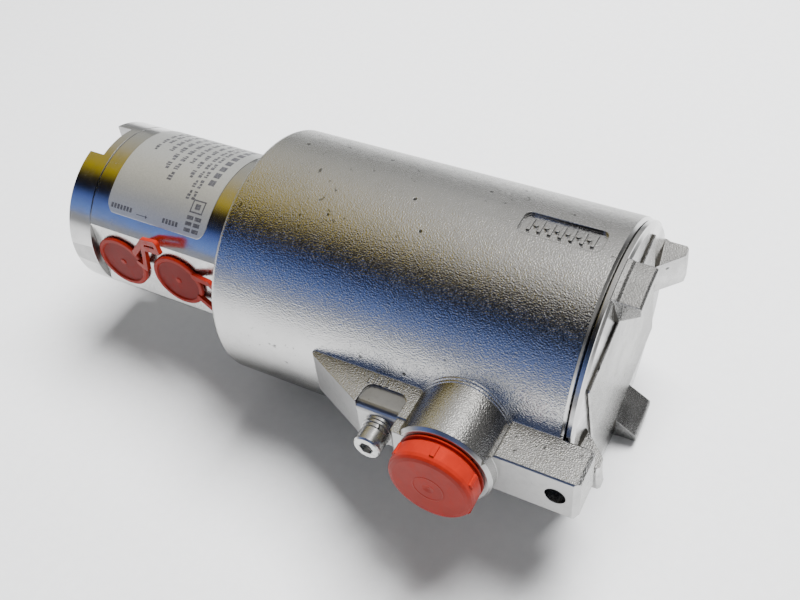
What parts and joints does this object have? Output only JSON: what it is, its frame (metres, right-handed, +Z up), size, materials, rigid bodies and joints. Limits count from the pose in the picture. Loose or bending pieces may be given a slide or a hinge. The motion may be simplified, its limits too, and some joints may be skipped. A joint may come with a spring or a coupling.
{
  "type": "solenoid valve",
  "caption": "Direct acting poppet solenoid valve with round flameproof steel housing, screwed cover, flat-sided valve body and capped threaded ports.",
  "frame": {"origin": "centre of the bounding box in plan, on the table the valve lies on", "axes": "+X along the valve's axis towards the screwed cover, +Z up, and the conduit entry, inlet and exhaust ports face -Y"},
  "size_m": [0.1956, 0.1071, 0.083],
  "materials": {
    "cast_steel": "cast and bead blasted",
    "turned_steel": "fine turned",
    "red_plastic": "moulded",
    "fastener_steel": "bright",
    "label_foil": "satin foil",
    "seal_rubber": "matt",
    "magnet_steel": "ground",
    "zinc_plated": "zinc plated",
    "tube_steel": "drawn",
    "spring_steel": "drawn wire",
    "copper": "plain copper",
    "brass": "machined",
    "bobbin_plastic": "moulded",
    "winding_tape": "wrapped tape",
    "terminal_plastic": "moulded",
    "bush_plastic": "machined",
    "lead_red": "sleeved",
    "lead_blue": "sleeved"
  },
  "bodies": {
    "valve": {"housing": "cast_steel", "lock_screw": "fastener_steel", "earth_screw": "fastener_steel", "earth_spring_washer": "fastener_steel", "earth_clamp_washer": "fastener_steel", "valve_body": "turned_steel", "end_cap": "turned_steel", "end_cap_oring": "seal_rubber", "body_oring": "seal_rubber", "body_label": "label_foil", "inlet_seat": "turned_steel", "exhaust_seat": "turned_steel", "inlet_seat_oring": "seal_rubber", "exhaust_seat_oring": "seal_rubber", "rod_bush": "bush_plastic", "rod_oring": "seal_rubber", "return_spring": "spring_steel", "fixed_pole": "magnet_steel", "shading_ring": "copper", "core_tube": "tube_steel", "coil_bobbin": "bobbin_plastic", "coil_winding": "winding_tape", "yoke_front_plate": "zinc_plated", "yoke_sleeve": "zinc_plated", "yoke_rear_plate": "zinc_plated", "coil_washer": "fastener_steel", "coil_nut": "fastener_steel", "terminal_bracket": "zinc_plated", "jam_nut": "fastener_steel", "terminal_block": "terminal_plastic", "terminal_screws": "fastener_steel", "terminal_clamps": "brass", "lead_live": "lead_red", "lead_neutral": "lead_blue", "inner_earth_screw": "fastener_steel", "inner_earth_washer": "fastener_steel"},
    "armature": {"plunger": "magnet_steel", "push_rod": "turned_steel", "poppet": "turned_steel", "inlet_disc": "seal_rubber", "exhaust_disc": "seal_rubber", "spring_retainer": "turned_steel"},
    "cover_seal": {"cover_oring": "seal_rubber"},
    "cover": {"cover": "cast_steel"},
    "conduit_cap": {"conduit_plug": "red_plastic"},
    "inlet_cap": {"inlet_plug": "red_plastic"},
    "exhaust_cap": {"exhaust_plug": "red_plastic"},
    "outlet_cap": {"outlet_plug": "red_plastic"}
  },
  "joints": [
    {"name": "armature_slide", "type": "slide", "parent": "valve", "child": "armature", "axis": [-1, 0, 0], "range_m": [0, 0.002], "stiffness_N_per_m": 2000, "springref_m": -0.003, "deforming": ["return_spring"]},
    {"name": "cover_advance", "type": "slide", "parent": "valve", "child": "cover_seal", "axis": [1, 0, 0], "range_m": [0, 0.0083]},
    {"name": "cover_turn", "type": "hinge", "parent": "cover_seal", "child": "cover", "pos_m": [0, 0.012, 0.0415], "axis": [1, 0, 0], "range_deg": [0, 1980]},
    {"name": "conduit_cap_pull", "type": "slide", "parent": "valve", "child": "conduit_cap", "axis": [0, -1, 0], "range_m": [0, 0.04]},
    {"name": "inlet_cap_pull", "type": "slide", "parent": "valve", "child": "inlet_cap", "axis": [0, -1, 0], "range_m": [0, 0.04]},
    {"name": "exhaust_cap_pull", "type": "slide", "parent": "valve", "child": "exhaust_cap", "axis": [0, -1, 0], "range_m": [0, 0.04]},
    {"name": "outlet_cap_pull", "type": "slide", "parent": "valve", "child": "outlet_cap", "axis": [0, 1, 0], "range_m": [0, 0.04]}
  ],
  "couplings": [
    {"joint": "cover_advance", "follows": "cover_turn", "m_per_rad": 0.00023873}
  ]
}
